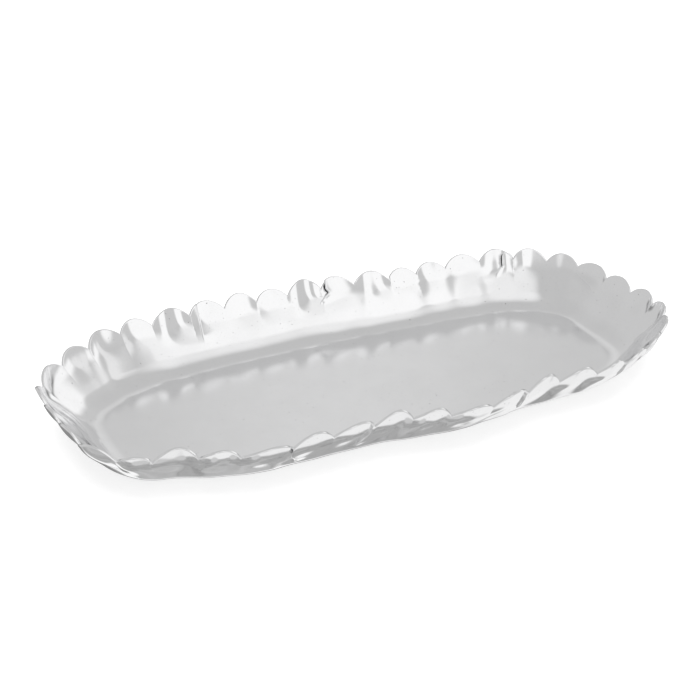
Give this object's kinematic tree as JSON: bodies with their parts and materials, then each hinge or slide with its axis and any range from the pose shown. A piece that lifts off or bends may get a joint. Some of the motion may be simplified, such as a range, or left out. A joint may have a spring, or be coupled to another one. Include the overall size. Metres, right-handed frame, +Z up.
{
  "type": "serving tray",
  "caption": "Long serving tray in mirror-polished cast metal with a flared wall of folded, scalloped petals.",
  "frame": {"origin": "on the underside, below the middle of the tray's outer box", "axes": "+X along the tray, +Y across it, +Z up"},
  "size_m": [0.5131, 0.2535, 0.0471],
  "materials": {
    "floor_metal": "mirror polished",
    "leaf_metal": "mirror polished"
  },
  "bodies": {
    "root": {"floor_pan": "floor_metal", "back_right_leaf": "leaf_metal", "back_leaf_1": "leaf_metal", "back_leaf_2": "leaf_metal", "back_leaf_3": "leaf_metal", "back_left_leaf": "leaf_metal", "left_end_leaf": "leaf_metal", "front_left_leaf": "leaf_metal", "front_leaf_1": "leaf_metal", "front_leaf_2": "leaf_metal", "front_leaf_3": "leaf_metal", "front_leaf_4": "leaf_metal", "front_right_leaf": "leaf_metal", "right_end_leaf": "leaf_metal"}
  },
  "joints": []
}
